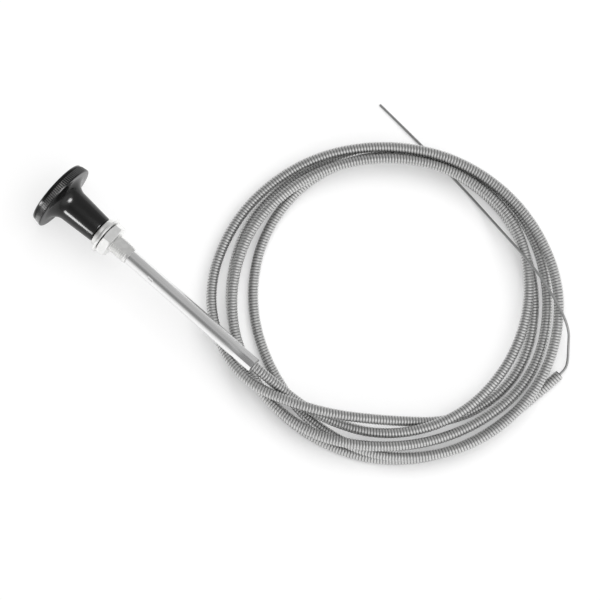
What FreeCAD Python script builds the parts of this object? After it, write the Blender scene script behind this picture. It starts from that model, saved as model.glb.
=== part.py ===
import FreeCAD, Part
import math
import os
import Sketcher
from FreeCAD import Placement, Rotation, Vector

# Push-pull control cable: knob and rod, threaded bushing with nut and washer, barrel,
# about two metres of coiled spiral conduit, and the stiff wire that runs through it.
# Millimetres. X runs along the barrel from the knob to the conduit, Z is up.
# The origin is on the barrel's axis, where a panel seats on the bushing's shoulder.

doc = FreeCAD.newDocument("control_cable")

SIZES = {
    "axis_height": (17.8, "barrel's axis over the floor; the knob's rim rests on it"),
    "knob_gap": (0.6, "between the knob's base and the shoulder when pushed in"),
    "knob_length": (29.4, "knob, base to rim's front edge"),
    "knob_dome": (1.2, "how far the knob's face stands proud of its rim"),
    "face_flat": (2.5, "radius of the flat at the middle of the knob's face"),
    "rim_radius": (17.8, "knob's rim at its back edge"),
    "rim_front": (16.8, "knob's rim at its front edge"),
    "rim_width": (5.6, "knob's rim along the axis"),
    "rim_round": (1.2, "rounding of the rim's edges"),
    "neck_base": (6.95, "neck's radius at the base"),
    "neck_top": (8.2, "neck's radius where the flare starts"),
    "base_round": (1.2, "rounding of the knob's base"),
    "flare_length": (6.9, "from the rim's back edge to the straight neck"),
    "flare_radius": (6.0, "hollow of the flare under the rim"),
    "flare_lip": (0.9, "from the rim's back edge to the flat under the rim"),
    "insert_radius": (3.5, "moulded-in insert"),
    "insert_length": (15.0, "moulded-in insert"),
    "insert_collar": (4.5, "full-width ends of the insert"),
    "insert_waist": (2.9, "insert's groove, which the moulding grips"),
    "seat_gap": (0.05, "radial play of pieces that seat in each other"),
    "rod_radius": (1.98, "pull rod, 5/32 in stock"),
    "rod_play": (0.05, "radial play of the rod in the bushing"),
    "rod_end": (80.0, "rod's rear end at rest"),
    "rod_chamfer": (0.5, "rod's ends"),
    "stroke": (50.8, "pull of the knob, 2 in"),
    "ring_width": (1.2, "stop ring along the axis"),
    "ring_radius": (2.69, "stop ring, outside"),
    "ring_seat": (1.5, "bottom of the rod's groove for the stop ring"),
    "ring_slack": (0.1, "groove wider than the ring, each side"),
    "shoulder_radius": (7.7, "bushing's shoulder"),
    "shoulder_width": (2.4, "bushing's shoulder along the axis"),
    "thread_radius": (4.76, "bushing's thread, 3/8 in"),
    "bushing_length": (16.6, "shoulder's seat to the rear end of the thread"),
    "bushing_lip": (1.2, "sloped rear end of the bushing's thread"),
    "lip_edge": (0.3, "step from the sloped end to the barrel, and edge of the barrel's end"),
    "flat_height": (3.6, "bushing's flat over the axis"),
    "flat_turn": (17.9, "flat's turn from straight up, in degrees"),
    "flat_start": (0.3, "flat's front end behind the seat"),
    "spigot_length": (6.0, "bushing's spigot, which the barrel is pressed on"),
    "friction_place": (3.0, "front of the friction ring's groove"),
    "friction_width": (2.0, "friction ring along the axis"),
    "friction_radius": (2.9, "friction ring's outside"),
    "friction_ease": (0.02, "what the friction ring stands off the rod"),
    "friction_split": (1.0, "gap in the friction ring"),
    "washer_radius": (9.9, "lock washer's outside"),
    "washer_bore": (5.1, "lock washer's hole"),
    "washer_width": (1.0, "lock washer's section along the axis"),
    "washer_place": (0.35, "front of the lock washer"),
    "washer_split": (1.2, "gap in the lock washer"),
    "nut_flats": (15.875, "nut across flats, 5/8 in"),
    "nut_width": (4.7, "nut along the axis"),
    "nut_place": (1.75, "front of the nut"),
    "nut_turn": (37.8, "a corner's turn from straight up, in degrees"),
    "nut_chamfer": (0.8, "how far along the axis the nut's corners are turned down"),
    "nut_face": (7.78, "radius of the nut's flat end faces"),
    "thread_play": (0.08, "radial play of the nut on the bushing"),
    "barrel_radius": (3.97, "barrel tube's outside, 5/16 in"),
    "barrel_wall": (1.2, "barrel tube's wall"),
    "barrel_end": (98.4, "barrel's rear end behind the seat"),
    "crimp_length": (10.4, "crimped end of the barrel"),
    "crimp_height": (3.6, "crimp's flats from the axis"),
    "crimp_slope": (0.6, "run-in of the crimp's flats"),
    "crimp_flats": (8, "flats round the crimp"),
    "conduit_radius": (2.6, "spiral conduit's outside"),
    "conduit_bore": (1.1, "spiral conduit's hole"),
    "conduit_start": (90.0, "conduit's front end, inside the barrel"),
    "wire_radius": (0.65, "inner wire"),
    "wire_hole": (0.7, "hole in the rod's end"),
    "wire_grip": (8.0, "wire's length inside the rod"),
    "head_end": (95.0, "where the moving stretch of the wire is counted to end"),
    "head_gap": (0.5, "between the wire's moving and still stretches"),
    "wire_out": (2.9, "from the conduit's end to the wire's first corner, straight out"),
    "past": (1.0, "how far a cutting outline reaches past what it cuts"),
    "cut_width": (40.0, "width of cuts that go straight through"),
    "coil_across": (70.64, "coil's middle beside the barrel's axis"),
    "coil_along": (120.44, "coil's middle behind the seat"),
    "coil_turn": (42.35, "from the barrel's axis to the coil's first direction, in degrees"),
}


class Length:
    """A size: its text for an expression and its value."""

    def __init__(self, text, value):
        self.text = text
        self.value = value

    def __add__(self, other):
        other = length(other)
        return Length("(%s + %s)" % (self.text, other.text), self.value + other.value)

    def __sub__(self, other):
        other = length(other)
        return Length("(%s - %s)" % (self.text, other.text), self.value - other.value)

    def __mul__(self, factor):
        return Length("(%s * %s)" % (self.text, factor), self.value * factor)

    def __neg__(self):
        return Length("(0 - %s)" % self.text, -self.value)


def length(thing):
    if isinstance(thing, Length):
        return thing
    return Length(str(thing), float(thing))


class Sizes:
    """The driving dimensions, each read as size.alias."""

    def __init__(self, table):
        self.sheet = doc.addObject("Spreadsheet::Sheet", "sizes")
        for row, (alias, (value, note)) in enumerate(table.items(), 1):
            self.sheet.set("A%d" % row, alias)
            self.sheet.set("B%d" % row, str(value))
            self.sheet.set("C%d" % row, note)
            self.sheet.setAlias("B%d" % row, alias)
            setattr(self, alias, Length("sizes." + alias, value))


size = Sizes(SIZES)
doc.recompute()

parts = []


def new_body(label):
    body = doc.addObject("PartDesign::Body", label)
    body.Label = label
    parts.append(body)
    return body


def new_sketch(body, name, role):
    """An empty sketch on one of the body's own origin planes."""
    plane = [f for f in body.Origin.OriginFeatures if f.Role == role][0]
    sketch = body.newObject("Sketcher::SketchObject", name)
    sketch.AttachmentSupport = [(plane, "")]
    sketch.MapMode = "FlatFace"
    return sketch


def bind(sketch, constraint, name, text):
    """Adds a dimension and ties it to the sheet."""
    index = sketch.addConstraint(constraint)
    sketch.renameConstraint(index, name)
    sketch.setExpression("Constraints." + name, text)


def arc_between(start, end, radius, side):
    """The shorter arc from start to end, with its centre left (+1) or right (-1) of the way."""
    chord = end - start
    normal = Vector(-chord.y, chord.x, 0).normalize()
    rise = math.sqrt(radius ** 2 - (chord.Length / 2) ** 2)
    centre = (start + end) * 0.5 + normal * (side * rise)
    first, last = (start, end) if side > 0 else (end, start)
    angles = [math.atan2(p.y - centre.y, p.x - centre.x) for p in (first, last)]
    return Part.ArcOfCircle(Part.Circle(centre, Vector(0, 0, 1), radius), *angles)


def outline(sketch, corners):
    """A closed outline. A corner is (x, y), or (x, y, radius, side) where an arc leaves it."""
    corners = [tuple(length(c) if k < 3 else c for k, c in enumerate(p)) for p in corners]
    spots = [Vector(p[0].value, p[1].value, 0) for p in corners]
    base = sketch.GeometryCount
    ends = []
    for k, corner in enumerate(corners):
        start, end = spots[k], spots[(k + 1) % len(spots)]
        if len(corner) == 4:
            sketch.addGeometry(arc_between(start, end, corner[2].value, corner[3]), False)
            ends.append((1, 2) if corner[3] > 0 else (2, 1))
        else:
            sketch.addGeometry(Part.LineSegment(start, end), False)
            ends.append((1, 2))
    for k, corner in enumerate(corners):
        after = (k + 1) % len(corners)
        edge = base + k
        joined = (edge, ends[k][1], base + after, ends[after][0])
        sketch.addConstraint(Sketcher.Constraint("Coincident", *joined))
        for axis, line, spot in (("X", -2, corner[0]), ("Y", -1, corner[1])):
            if spot.value == 0:
                sketch.addConstraint(Sketcher.Constraint("PointOnObject", edge, ends[k][0], line))
            else:
                rule = Sketcher.Constraint("Distance" + axis, -1, 1, edge, ends[k][0], spot.value)
                bind(sketch, rule, "%s%d" % (axis.lower(), edge), spot.text)
        if len(corner) == 4:
            rule = Sketcher.Constraint("Radius", edge, corner[2].value)
            bind(sketch, rule, "r%d" % edge, corner[2].text)


def circle(sketch, radius):
    edge = sketch.addGeometry(Part.Circle(Vector(0, 0, 0), Vector(0, 0, 1), radius.value), False)
    sketch.addConstraint(Sketcher.Constraint("Coincident", edge, 3, -1, 1))
    bind(sketch, Sketcher.Constraint("Radius", edge, radius.value), "r%d" % edge, radius.text)


def turned(label, corners):
    """A body turned about the barrel's axis from an outline of (x, radius) corners."""
    body = new_body(label)
    sketch = new_sketch(body, label + "_outline", "XZ_Plane")
    outline(sketch, corners)
    revolution = body.newObject("PartDesign::Revolution", label + "_turned")
    revolution.Profile = sketch
    revolution.ReferenceAxis = (sketch, ["H_Axis"])
    revolution.Angle = 360
    doc.recompute()
    return body


def cut_across(body, name, corners, width):
    """Cuts an outline of (x, z) corners straight through, along Y."""
    sketch = new_sketch(body, name + "_outline", "XZ_Plane")
    outline(sketch, corners)
    pocket = body.newObject("PartDesign::Pocket", name)
    pocket.Profile = sketch
    pocket.Midplane = True
    pocket.setExpression("Length", width.text)
    doc.recompute()
    return pocket


def repeat_round(body, feature, name, count):
    """Repeats a feature round the barrel's axis."""
    axis = [f for f in body.Origin.OriginFeatures if f.Role == "X_Axis"][0]
    pattern = body.newObject("PartDesign::PolarPattern", name)
    pattern.Originals = [feature]
    pattern.Axis = (axis, [""])
    pattern.Angle = 360
    pattern.setExpression("Occurrences", count.text)
    body.Tip = pattern
    doc.recompute()


def turn_about_axis(body, degrees):
    body.Placement = Placement(Vector(0, 0, 0), Rotation(Vector(1, 0, 0), degrees))


def box_ring(start, end, inner, outer):
    """Corners of a plain ring's section."""
    return [(start, inner), (end, inner), (end, outer), (start, outer)]


# The knob is one moulding: a straight neck, a hollow flare and a rim, bored for its insert.
def make_knob():
    base = -(size.shoulder_width + size.knob_gap)
    rim_front = base - size.knob_length
    rim_back = rim_front + size.rim_width
    bore = size.insert_radius + size.seat_gap
    bore_end = base - size.insert_length
    flat = rim_back + size.flare_lip
    flare_top = size.neck_top + size.flare_radius
    edge = size.rim_front - size.rim_round
    dome = size.knob_dome
    reach = edge - size.face_flat
    face = "(%s ^ 2 / (2 * %s) + %s / 2)" % (reach.text, dome.text, dome.text)
    face_radius = Length(face, reach.value ** 2 / (2 * dome.value) + dome.value / 2)
    corners = [
        (base, bore),
        (base, size.neck_base - size.base_round, size.base_round, 1),
        (base - size.base_round, size.neck_base),
        (rim_back + size.flare_length, size.neck_top, size.flare_radius, -1),
        (flat, flare_top),
        (flat, size.rim_radius - size.rim_round, size.rim_round, 1),
        (flat - size.rim_round, size.rim_radius),
        (rim_front + size.rim_round, size.rim_front, size.rim_round, 1),
        (rim_front, edge, face_radius, 1),
        (rim_front - dome, size.face_flat),
        (rim_front - dome, 0),
        (bore_end, 0),
        (bore_end, bore),
    ]
    turned("knob", corners)


# The insert is turned from bar, with a waist that keeps it in the moulding.
def make_knob_insert():
    front = -(size.shoulder_width + size.knob_gap)
    back = front - size.insert_length
    bore = size.rod_radius + size.seat_gap
    corners = [
        (front, bore),
        (front, size.insert_radius),
        (front - size.insert_collar, size.insert_radius),
        (front - size.insert_collar, size.insert_waist),
        (back + size.insert_collar, size.insert_waist),
        (back + size.insert_collar, size.insert_radius),
        (back, size.insert_radius),
        (back, bore),
    ]
    turned("knob_insert", corners)


def ring_front():
    """Front face of the stop ring at rest: a full stroke behind the bushing's spigot."""
    return size.bushing_length + size.spigot_length + size.stroke + size.ring_slack


# The rod runs from the insert to the stop ring and grips the wire in its bored end.
def make_pull_rod():
    front = -(size.shoulder_width + size.knob_gap + size.insert_length)
    groove = ring_front() - size.ring_slack
    groove_end = ring_front() + size.ring_width + size.ring_slack
    hole = size.rod_end - size.wire_grip
    corners = [
        (front, 0),
        (hole, 0),
        (hole, size.wire_hole),
        (size.rod_end, size.wire_hole),
        (size.rod_end, size.rod_radius - size.rod_chamfer),
        (size.rod_end - size.rod_chamfer, size.rod_radius),
        (groove_end, size.rod_radius),
        (groove_end, size.ring_seat),
        (groove, size.ring_seat),
        (groove, size.rod_radius),
        (front + size.rod_chamfer, size.rod_radius),
        (front, size.rod_radius - size.rod_chamfer),
    ]
    turned("pull_rod", corners)


def make_stop_ring():
    start = ring_front()
    inner = size.ring_seat + size.seat_gap
    turned("stop_ring", box_ring(start, start + size.ring_width, inner, size.ring_radius))


# The bushing: shoulder, threaded body with a long flat, a bore for the rod with a groove
# for the friction ring, and a spigot that the barrel is pressed on.
def make_bushing():
    bore = size.rod_radius + size.rod_play
    spigot = size.barrel_radius - size.barrel_wall - size.seat_gap
    spigot_end = size.bushing_length + size.spigot_length
    groove_end = size.friction_place + size.friction_width + size.ring_slack
    groove_radius = size.friction_radius + size.seat_gap
    edge = size.rod_chamfer
    corners = [
        (-size.shoulder_width, bore),
        (-size.shoulder_width, size.shoulder_radius - edge),
        (edge - size.shoulder_width, size.shoulder_radius),
        (0, size.shoulder_radius),
        (0, size.thread_radius),
        (size.bushing_length - size.bushing_lip, size.thread_radius),
        (size.bushing_length, size.barrel_radius + size.lip_edge),
        (size.bushing_length, spigot),
        (spigot_end - size.lip_edge, spigot),
        (spigot_end, spigot - size.lip_edge),
        (spigot_end, bore),
        (groove_end, bore),
        (groove_end, groove_radius),
        (size.friction_place, groove_radius),
        (size.friction_place, bore),
    ]
    body = turned("bushing", corners)
    flat_corners = [
        (size.flat_start, size.flat_height),
        (size.bushing_length + size.past, size.flat_height),
        (size.bushing_length + size.past, size.shoulder_radius),
        (size.flat_start, size.shoulder_radius),
    ]
    cut_across(body, "bushing_flat", flat_corners, size.cut_width)
    turn_about_axis(body, -size.flat_turn.value)


# A split ring of spring wire that presses on the rod and holds it by friction.
def make_friction_ring():
    inner = size.rod_radius + size.friction_ease
    start = size.friction_place + size.seat_gap
    end = start + size.friction_width
    body = turned("friction_ring", box_ring(start, end, inner, size.friction_radius))
    gap_corners = box_ring(start - size.past, end + size.past, 0, size.shoulder_radius)
    cut_across(body, "friction_gap", gap_corners, size.friction_split)


# A split spring washer; its split stands straight up.
def make_lock_washer():
    start = size.washer_place
    end = start + size.washer_width
    body = turned("lock_washer", box_ring(start, end, size.washer_bore, size.washer_radius))
    outside = size.washer_radius + size.past
    gap_corners = box_ring(start - size.past, end + size.past, size.thread_radius, outside)
    cut_across(body, "washer_gap", gap_corners, size.washer_split)


# The nut: a hexagon with both ends turned down to a cone, and a plain hole for its thread.
def make_panel_nut():
    body = new_body("panel_nut")
    hexagon = new_sketch(body, "nut_hexagon", "YZ_Plane")
    corner_radius = size.nut_flats.value / math.sqrt(3)
    top = Vector(0, corner_radius, 0)
    spots = [Rotation(Vector(0, 0, 1), -60 * k).multVec(top) for k in range(6)]
    for k in range(6):
        hexagon.addGeometry(Part.LineSegment(spots[k], spots[(k + 1) % 6]), False)
    ring = hexagon.addGeometry(Part.Circle(Vector(0, 0, 0), Vector(0, 0, 1), corner_radius), True)
    hexagon.addConstraint(Sketcher.Constraint("Coincident", ring, 3, -1, 1))
    for k in range(6):
        hexagon.addConstraint(Sketcher.Constraint("Coincident", k, 2, (k + 1) % 6, 1))
        hexagon.addConstraint(Sketcher.Constraint("PointOnObject", k, 1, ring))
        if k:
            hexagon.addConstraint(Sketcher.Constraint("Equal", 0, k))
    hexagon.addConstraint(Sketcher.Constraint("PointOnObject", 0, 1, -2))
    bind(hexagon, Sketcher.Constraint("Radius", ring, corner_radius), "corner", "sizes.nut_flats / sqrt(3)")
    hexagon.AttachmentOffset = Placement(Vector(0, 0, size.nut_place.value), Rotation())
    hexagon.setExpression("AttachmentOffset.Base.z", size.nut_place.text)
    pad = body.newObject("PartDesign::Pad", "nut_blank")
    pad.Profile = hexagon
    pad.setExpression("Length", size.nut_width.text)
    doc.recompute()
    hole = new_sketch(body, "nut_hole_outline", "YZ_Plane")
    circle(hole, size.thread_radius + size.thread_play)
    pocket = body.newObject("PartDesign::Pocket", "nut_hole")
    pocket.Profile = hole
    pocket.Midplane = True
    pocket.setExpression("Length", size.cut_width.text)
    doc.recompute()
    front, back = size.nut_place, size.nut_place + size.nut_width
    tip = size.nut_face + size.nut_chamfer * 2.5
    turned_down = new_sketch(body, "nut_corners_outline", "XZ_Plane")
    for end, out, slope in ((front, -size.past, size.nut_chamfer), (back, size.past, -size.nut_chamfer)):
        corners = [
            (end + out, size.nut_face),
            (end, size.nut_face),
            (end + slope, tip),
            (end + out, tip),
        ]
        outline(turned_down, corners)
    groove = body.newObject("PartDesign::Groove", "nut_corners")
    groove.Profile = turned_down
    groove.ReferenceAxis = (turned_down, ["H_Axis"])
    groove.Angle = 360
    doc.recompute()
    turn_about_axis(body, -size.nut_turn.value)


# The barrel is plain tube; flats round its rear end crimp it on the conduit.
def make_barrel_tube():
    start = size.bushing_length + size.seat_gap
    inner = size.barrel_radius - size.barrel_wall
    corners = [
        (start, inner),
        (start, size.barrel_radius),
        (size.barrel_end - size.rod_chamfer, size.barrel_radius),
        (size.barrel_end, size.barrel_radius - size.lip_edge),
        (size.barrel_end, inner),
    ]
    body = turned("barrel_tube", corners)
    crimp = size.barrel_end - size.crimp_length
    outside = size.barrel_radius + size.past
    crimp_corners = [
        (crimp, outside),
        (crimp + size.crimp_slope, size.crimp_height),
        (size.barrel_end + size.past, size.crimp_height),
        (size.barrel_end + size.past, outside),
    ]
    flat = cut_across(body, "crimp_flat", crimp_corners, size.cut_width)
    repeat_round(body, flat, "crimp_flats_round", size.crimp_flats)
    turn_about_axis(body, -size.flat_turn.value)


# The wire's front end, fixed in the rod and moving with it.
def make_wire_head():
    start = size.rod_end - size.wire_grip
    turned("wire_head", box_ring(start, size.head_end, 0, size.wire_radius))


# The coil. A quarter-turn station is the conduit's distance from the coil's middle and its
# height over the floor. Each row below is one turn, in degrees 270, 0, 90 and 180.
REACH = (
    (66.7, 71.3, 69.2, 81.6),
    (74.1, 79.7, 70.9, 63.1),
    (77.4, 85.1, 77.8, 77.9),
    (67.0, 72.8, 72.0, 71.3),
    (82.2,),
)
LIFT = (
    (17.0, 9.7, 16.6, 11.0),
    (11.1, 5.0, 11.0, 2.8),
    (6.4, 10.2, 4.2, 6.6),
    (10.7, 2.8, 5.2, 2.8),
    (2.7,),
)
# Where the conduit ends, from the coil's middle, and its direction there in degrees.
CONDUIT_END = (81.0, -41.4)
CONDUIT_END_BEARING = 42.0


def on_floor(right, away, lift):
    """A place measured from the coil's middle and the floor, in the part's own frame."""
    turn = math.radians(size.coil_turn.value)
    return Vector(
        size.coil_along.value + right * math.cos(turn) - away * math.sin(turn),
        size.coil_across.value + right * math.sin(turn) + away * math.cos(turn),
        lift - size.axis_height.value,
    )


def biarc(start, leave, end, arrive):
    """Two arcs that join smoothly, from start along leave to end along arrive."""
    way = end - start
    both = leave + arrive
    spread = 2 * (1 - leave.dot(arrive))
    reach = (math.sqrt(way.dot(both) ** 2 + spread * way.dot(way)) - way.dot(both)) / spread
    corner_1 = start + leave * reach
    corner_2 = end - arrive * reach
    middle = (corner_1 + corner_2) * 0.5
    return [tangent_arc(start, corner_1, middle), tangent_arc(middle, corner_2, end)]


def tangent_arc(start, corner, end):
    """The arc from start to end whose tangents meet at the corner."""
    chord_middle = (start + end) * 0.5
    half_chord = (end - start).Length / 2
    rise = (corner - chord_middle).Length
    run = (corner - start).Length
    sagitta = half_chord * (run - half_chord) / rise
    return Part.Arc(start, chord_middle + (corner - chord_middle).normalize() * sagitta, end)


def coil_stations():
    """Places and directions of the conduit at each quarter turn."""
    reach = [r for turn in REACH for r in turn]
    lift = [z for turn in LIFT for z in turn]
    middle = on_floor(0, 0, 0)
    barrel_end = Vector(size.barrel_end.value, 0, 0)
    first = barrel_end - middle
    turn = math.radians(size.coil_turn.value)
    exit_angle = (math.atan2(first.y, first.x) - turn) % (2 * math.pi)
    end_angle = math.atan2(CONDUIT_END[1], CONDUIT_END[0]) % (2 * math.pi) + 2 * math.pi * (len(REACH) - 1)
    angles = [exit_angle] + [math.radians(270 + 90 * k) for k in range(len(reach))] + [end_angle]
    reach = [math.hypot(first.x, first.y)] + reach + [math.hypot(*CONDUIT_END)]
    lift = [size.axis_height.value] + lift + [size.conduit_radius.value]
    places = []
    directions = []
    for k in range(1, len(angles) - 1):
        c, s = math.cos(angles[k]), math.sin(angles[k])
        span = angles[k + 1] - angles[k - 1]
        outward = (reach[k + 1] - reach[k - 1]) / span
        upward = (lift[k + 1] - lift[k - 1]) / span
        places.append(on_floor(reach[k] * c, reach[k] * s, lift[k]))
        step = on_floor(outward * c - reach[k] * s, outward * s + reach[k] * c, upward)
        directions.append((step - middle).normalize())
    return places, directions


def conduit_path(front):
    """Edges from a place on the barrel's axis round the coil, then the end and its direction."""
    diameter = size.conduit_radius.value * 2
    leave = Vector(1, 0, 0)
    lead = Vector(size.barrel_end.value + diameter, 0, 0)
    places, directions = coil_stations()
    bearing = math.radians(CONDUIT_END_BEARING + size.coil_turn.value)
    final = Vector(math.cos(bearing), math.sin(bearing), 0)
    last = on_floor(CONDUIT_END[0], CONDUIT_END[1], size.conduit_radius.value)
    places = [lead] + places + [last]
    directions = [leave] + directions + [final]
    edges = [Part.LineSegment(Vector(front, 0, 0), lead)]
    for k in range(len(places) - 1):
        edges += biarc(places[k], directions[k], places[k + 1], directions[k + 1])
    end = last + final * diameter
    edges.append(Part.LineSegment(last, end))
    return edges, end, final


def swept(edges, radius):
    """A round tube along joined edges, as one pipe shell."""
    path = Part.Wire([e.toShape() for e in edges])
    first = edges[0]
    start = first.value(first.FirstParameter)
    toward = first.tangent(first.FirstParameter)[0]
    ring = Part.Wire([Part.Circle(start, toward, radius).toShape()])
    shell = Part.BRepOffsetAPI.MakePipeShell(path)
    shell.add(ring)
    shell.build()
    shell.makeSolid()
    solid = shell.shape()
    expected = math.pi * radius ** 2 * path.Length
    print("tube of radius %.2f: length %.1f, volume %.1f, section times length %.1f"
          % (radius, path.Length, solid.Volume, expected))
    return solid


def least_gap(edges, radius):
    """Least surface gap between stretches of a path that are over 60 mm apart along it."""
    step, apart = 1.5, 60
    spots = []
    for edge in edges:
        span = edge.length()
        count = max(1, int(span / step))
        low, high = edge.FirstParameter, edge.LastParameter
        spots += [edge.value(low + (high - low) * k / count) for k in range(count)]
    skip = int(apart / step)
    least = 1e9
    for k, spot in enumerate(spots):
        for other in range(k + skip, len(spots) - 1):
            if spot.distanceToPoint(spots[other]) < least + 2 * step:
                least = min(least, spot.distanceToLineSegment(spots[other], spots[other + 1]).Length)
    return least - 2 * radius


def make_feature(label, shape):
    feature = doc.addObject("Part::Feature", label)
    feature.Label = label
    feature.Shape = shape
    feature.Placement = Placement()
    parts.append(feature)


# The conduit is one unbroken hollow tube with the wire lying free in its bore.
def make_conduit():
    edges, end, final = conduit_path(size.conduit_start.value)
    outside = swept(edges, size.conduit_radius.value)
    inside = swept(edges, size.conduit_bore.value)
    make_feature("conduit", outside.cut(inside))
    print("conduit: least gap to itself %.2f" % least_gap(edges, size.conduit_radius.value))
    core_edges, end, final = conduit_path(size.head_end.value + size.head_gap.value)
    make_feature("wire_core", swept(core_edges, size.wire_radius.value))


# The wire's free end: (right, away, height) of each corner of its route after it has left
# the conduit, from the coil's middle and the floor. It rises over the turns at the right,
# comes down inside the coil, then runs out under the far side along the floor.
WIRE_ROUTE = (
    (88.9, -32.4, 2.75),
    (89.3, -24.6, 4.8),
    (89.6, -16.9, 12.0),
    (83.5, -4.3, 15.5),
    (72.1, 12.8, 18.6),
    (58.1, 31.4, 9.0),
    (42.1, 52.4, 0.8),
    (20.5, 76.2, 0.75),
    (-2.4, 99.2, 0.75),
)


def rounded_route(corners):
    """Straight runs joined by arcs as large as the runs allow; prints each radius."""
    edges = []
    radii = []
    start = corners[0]
    for k in range(1, len(corners) - 1):
        before, corner, after = corners[k - 1:k + 2]
        arrive = (corner - before).normalize()
        leave = (after - corner).normalize()
        cut = 0.45 * min((corner - before).Length, (after - corner).Length)
        turn = arrive.getAngle(leave)
        radii.append(cut / math.tan(turn / 2))
        bend_start, bend_end = corner - arrive * cut, corner + leave * cut
        edges.append(Part.LineSegment(start, bend_start))
        edges.append(tangent_arc(bend_start, corner, bend_end))
        start = bend_end
    edges.append(Part.LineSegment(start, corners[-1]))
    print("free wire: bend radii", " ".join("%.0f" % r for r in radii))
    return edges


def make_wire_tail():
    edges, end, final = conduit_path(size.conduit_start.value)
    corners = [end, end + final * size.wire_out.value] + [on_floor(*spot) for spot in WIRE_ROUTE]
    make_feature("wire_tail", swept(rounded_route(corners), size.wire_radius.value))


def check_and_write():
    doc.recompute()
    for thing in doc.Objects:
        if "Invalid" in thing.State or "Error" in thing.State:
            raise RuntimeError("%s failed" % thing.Name)
    for part in parts:
        if part.Shape.isNull() or not part.Shape.isValid():
            raise RuntimeError("%s has no valid shape" % part.Label)
    os.makedirs("parts", exist_ok=True)
    for part in parts:
        part.Shape.exportStep("parts/%s.step" % part.Label)
        print("%-14s volume %.1f" % (part.Label, part.Shape.Volume))


make_knob()
make_knob_insert()
make_pull_rod()
make_stop_ring()
make_bushing()
make_friction_ring()
make_lock_washer()
make_panel_nut()
make_barrel_tube()
make_wire_head()
make_conduit()
make_wire_tail()
check_and_write()
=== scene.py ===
# %% [markdown]
# # A push-pull control cable
#
# The real thing is a choke or throttle control: a black knob on a sliding rod, a threaded
# bushing that clamps in a panel, a plated barrel, two metres of spiral steel conduit lying
# in a coil, and one stiff wire that runs through all of it and comes out at the far end.
#
# The engineering model is loaded first and is never changed. Each piece below is put where
# that model says, in metres, and either dresses a solid of the model or stands for it.

# %% The frame
import math

import bmesh
import bpy
from mathutils import Matrix, Vector


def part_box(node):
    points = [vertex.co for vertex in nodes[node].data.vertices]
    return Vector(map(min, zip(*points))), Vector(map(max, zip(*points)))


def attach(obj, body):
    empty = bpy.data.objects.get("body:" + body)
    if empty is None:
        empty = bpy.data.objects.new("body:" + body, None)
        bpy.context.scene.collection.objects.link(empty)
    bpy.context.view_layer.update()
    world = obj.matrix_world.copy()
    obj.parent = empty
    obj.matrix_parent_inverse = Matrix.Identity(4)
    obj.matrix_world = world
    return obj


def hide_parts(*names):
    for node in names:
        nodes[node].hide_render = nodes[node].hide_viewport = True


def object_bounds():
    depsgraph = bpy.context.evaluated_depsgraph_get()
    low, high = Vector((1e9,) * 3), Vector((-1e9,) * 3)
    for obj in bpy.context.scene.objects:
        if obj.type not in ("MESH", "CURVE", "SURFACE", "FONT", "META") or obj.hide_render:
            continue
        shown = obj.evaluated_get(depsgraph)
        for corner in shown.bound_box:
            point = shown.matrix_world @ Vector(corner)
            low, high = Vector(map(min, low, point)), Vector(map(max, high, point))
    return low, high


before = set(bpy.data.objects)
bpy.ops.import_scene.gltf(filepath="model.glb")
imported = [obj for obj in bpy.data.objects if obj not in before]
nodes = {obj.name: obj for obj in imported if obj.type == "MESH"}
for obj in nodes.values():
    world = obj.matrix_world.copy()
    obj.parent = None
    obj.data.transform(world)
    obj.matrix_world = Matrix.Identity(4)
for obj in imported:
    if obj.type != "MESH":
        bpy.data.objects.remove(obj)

cad_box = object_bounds()
MM = 0.001
print("solids in the frame:", len(nodes))

# %% [markdown]
# ## Where the coil lies
#
# The barrel lies along X, but the photograph looks at the coil from another side. It is
# easier to lay the coil out in that view's own directions: so far to the right of the
# coil's middle, so far away from the viewer, and so high over the floor.

# %% The coil's middle and the floor
VIEW_AZIMUTH = 42.35
VIEW_ELEVATION = 75.0
COIL_MIDDLE = Vector((120.44, 70.64, 0)) * MM
FLOOR = cad_box[0][2]
view_turn = math.radians(VIEW_AZIMUTH)
RIGHT = Vector((math.cos(view_turn), math.sin(view_turn), 0))
AWAY = Vector((-math.sin(view_turn), math.cos(view_turn), 0))


def on_floor(right, away, lift):
    """A place given in millimetres from the coil's middle and the floor."""
    place = COIL_MIDDLE + (RIGHT * right + AWAY * away) * MM
    place.z = FLOOR + lift * MM
    return place


# %% [markdown]
# ## The camera
#
# The photograph was taken from far off with a long lens: its lines don't draw together at
# all. A camera 8 m away with a lens to match gives that. It looks down at 75 degrees, which
# the narrow ellipse of the knob's rim tells. The coil's middle is right of the picture's
# middle, so the aim is left of it.

# %% The camera
PICTURE_WIDTH = 292.8 * MM
CAMERA_DISTANCE = 8.0
SENSOR = 36.0
view_drop = math.radians(VIEW_ELEVATION)
look = AWAY * math.cos(view_drop) - Vector((0, 0, math.sin(view_drop)))
aim = on_floor(-41.5, 0.5, 0)
lens = bpy.data.cameras.new("photo_camera")
lens.sensor_width = SENSOR
lens.lens = SENSOR * CAMERA_DISTANCE / PICTURE_WIDTH
lens.clip_end = 50
camera = bpy.data.objects.new("photo_camera", lens)
camera.location = aim - look * CAMERA_DISTANCE
camera.rotation_euler = look.to_track_quat("-Z", "Y").to_euler()
bpy.context.scene.collection.objects.link(camera)
bpy.context.scene.camera = camera
print("lens %.0f mm" % lens.lens)

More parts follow.
